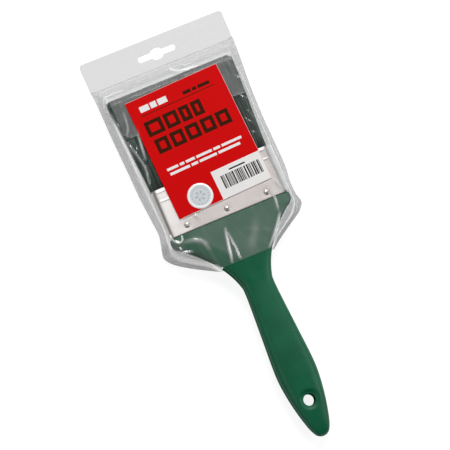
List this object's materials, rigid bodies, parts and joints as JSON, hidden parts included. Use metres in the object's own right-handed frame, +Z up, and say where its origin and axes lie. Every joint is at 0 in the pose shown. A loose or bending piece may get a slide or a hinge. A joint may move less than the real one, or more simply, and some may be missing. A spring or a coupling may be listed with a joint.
{
  "type": "wall paint brush in header bag",
  "caption": "Flat decorator's wall brush with a moulded beavertail handle, metal ferrule and long filaments, in a clear header bag with a printed card that slides off over the tips.",
  "frame": {"origin": "on the bag's flat back, straight below the middle of the ferrule's handle-side edge", "axes": "+X across the brush, +Y along it towards the filament tips, +Z up out of its front; the brush lies on its back"},
  "size_m": [0.126, 0.3515, 0.0233],
  "materials": {
    "handle_plastic": "satin",
    "ferrule_steel": "bright plated",
    "nail_steel": "bright plated",
    "filament": "straight strands with a soft sheen",
    "plug_wood": "sawn",
    "epoxy": "cast",
    "clear_film": "milky clear",
    "printed_card": "printed, satin",
    "seal_foil": "silver foil"
  },
  "bodies": {
    "brush": {"handle": "handle_plastic", "ferrule": "ferrule_steel", "ferrule_nail_front_left": "nail_steel", "ferrule_nail_front_centre": "nail_steel", "ferrule_nail_front_right": "nail_steel", "ferrule_nail_back_left": "nail_steel", "ferrule_nail_back_centre": "nail_steel", "ferrule_nail_back_right": "nail_steel", "bristles_front": "filament", "bristles_back": "filament", "spacer_plug": "plug_wood", "epoxy_setting": "epoxy"},
    "packaging": {"poly_bag": "clear_film", "card_insert": "printed_card", "round_seal": "seal_foil"}
  },
  "joints": [
    {"name": "packaging_slide", "type": "slide", "parent": "brush", "child": "packaging", "axis": [0, 1, 0], "range_m": [0, 0.165], "deforming": ["poly_bag"]}
  ]
}
